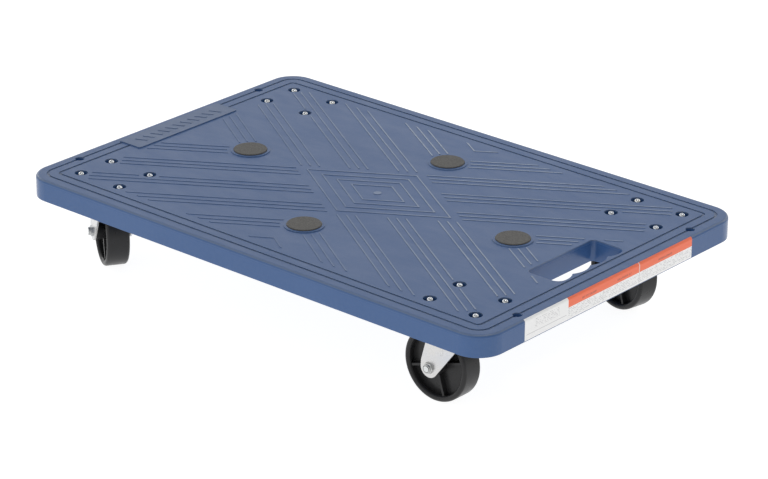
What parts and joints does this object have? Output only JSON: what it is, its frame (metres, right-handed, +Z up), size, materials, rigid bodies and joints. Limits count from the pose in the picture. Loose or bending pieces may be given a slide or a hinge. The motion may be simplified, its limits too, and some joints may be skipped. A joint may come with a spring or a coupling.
{
  "type": "platform dolly",
  "caption": "Low plastic platform dolly with a ribbed rectangular deck, a hand slot at one end, rubber pads and small swivel casters for moving boxes and furniture.",
  "frame": {"origin": "on the floor under the middle of the deck, in line with the bottoms of the wheels", "axes": "+X along the deck towards the end with the hand slot (the front), +Y to the left, +Z up"},
  "size_m": [0.6, 0.4, 0.112],
  "materials": {
    "deck_plastic": "moulded blue-grey polypropylene, fine matt texture, slight sheen on the skirt",
    "label_film": "printed vinyl sticker, white with an orange band",
    "pad_rubber": "dark grey-brown rubber, matt",
    "zinc_sheet": "zinc-plated sheet steel",
    "fork_zinc": "bright zinc-plated pressed steel",
    "bolt_zinc": "bright zinc-plated",
    "nut_zinc": "zinc-plated",
    "rivet_steel": "plain steel, lightly greased",
    "ball_steel": "polished steel balls",
    "wheel_plastic": "hard black plastic, semi-gloss"
  },
  "bodies": {
    "deck": {"deck": "deck_plastic", "label": "label_film", "pad_front": "pad_rubber", "pad_rear": "pad_rubber", "pad_left": "pad_rubber", "pad_right": "pad_rubber", "top_plate_front_left": "zinc_sheet", "top_plate_front_right": "zinc_sheet", "top_plate_rear_left": "zinc_sheet", "top_plate_rear_right": "zinc_sheet", "kingpin_front_left": "rivet_steel", "kingpin_front_right": "rivet_steel", "kingpin_rear_left": "rivet_steel", "kingpin_rear_right": "rivet_steel", "balls_front_left": "ball_steel", "balls_front_right": "ball_steel", "balls_rear_left": "ball_steel", "balls_rear_right": "ball_steel", "bolts_front_left": "nut_zinc", "bolts_front_right": "nut_zinc", "bolts_rear_left": "nut_zinc", "bolts_rear_right": "nut_zinc", "washers_front_left": "zinc_sheet", "washers_front_right": "zinc_sheet", "washers_rear_left": "zinc_sheet", "washers_rear_right": "zinc_sheet", "cap_nuts_front_left": "bolt_zinc", "cap_nuts_front_right": "bolt_zinc", "cap_nuts_rear_left": "bolt_zinc", "cap_nuts_rear_right": "bolt_zinc"},
    "caster_front_left": {"fork_front_left": "fork_zinc", "axle_front_left": "bolt_zinc", "axle_nut_front_left": "nut_zinc", "sleeve_front_left": "rivet_steel"},
    "wheel_front_left": {"wheel_front_left": "wheel_plastic"},
    "caster_front_right": {"fork_front_right": "fork_zinc", "axle_front_right": "bolt_zinc", "axle_nut_front_right": "nut_zinc", "sleeve_front_right": "rivet_steel"},
    "wheel_front_right": {"wheel_front_right": "wheel_plastic"},
    "caster_rear_left": {"fork_rear_left": "fork_zinc", "axle_rear_left": "bolt_zinc", "axle_nut_rear_left": "nut_zinc", "sleeve_rear_left": "rivet_steel"},
    "wheel_rear_left": {"wheel_rear_left": "wheel_plastic"},
    "caster_rear_right": {"fork_rear_right": "fork_zinc", "axle_rear_right": "bolt_zinc", "axle_nut_rear_right": "nut_zinc", "sleeve_rear_right": "rivet_steel"},
    "wheel_rear_right": {"wheel_rear_right": "wheel_plastic"}
  },
  "joints": [
    {"name": "swivel_front_left", "type": "hinge", "parent": "deck", "child": "caster_front_left", "pos_m": [0.2315, 0.1384, 0.0923], "axis": [0, 0, 1], "continuous": true},
    {"name": "swivel_front_right", "type": "hinge", "parent": "deck", "child": "caster_front_right", "pos_m": [0.2315, -0.1384, 0.0923], "axis": [0, 0, 1], "continuous": true},
    {"name": "swivel_rear_left", "type": "hinge", "parent": "deck", "child": "caster_rear_left", "pos_m": [-0.2315, 0.1384, 0.0923], "axis": [0, 0, 1], "continuous": true},
    {"name": "swivel_rear_right", "type": "hinge", "parent": "deck", "child": "caster_rear_right", "pos_m": [-0.2315, -0.1384, 0.0923], "axis": [0, 0, 1], "continuous": true},
    {"name": "roll_front_left", "type": "hinge", "parent": "caster_front_left", "child": "wheel_front_left", "pos_m": [0.20294, 0.14344, 0.0375], "axis": [-0.1736, -0.9848, 0], "continuous": true},
    {"name": "roll_front_right", "type": "hinge", "parent": "caster_front_right", "child": "wheel_front_right", "pos_m": [0.2025, -0.1384, 0.0375], "axis": [0, -1, 0], "continuous": true},
    {"name": "roll_rear_left", "type": "hinge", "parent": "caster_rear_left", "child": "wheel_rear_left", "pos_m": [-0.26022, 0.14244, 0.0375], "axis": [-0.1392, -0.9903, 0], "continuous": true},
    {"name": "roll_rear_right", "type": "hinge", "parent": "caster_rear_right", "child": "wheel_rear_right", "pos_m": [-0.25582, -0.12261, 0.0375], "axis": [-0.5446, -0.8387, 0], "continuous": true}
  ]
}
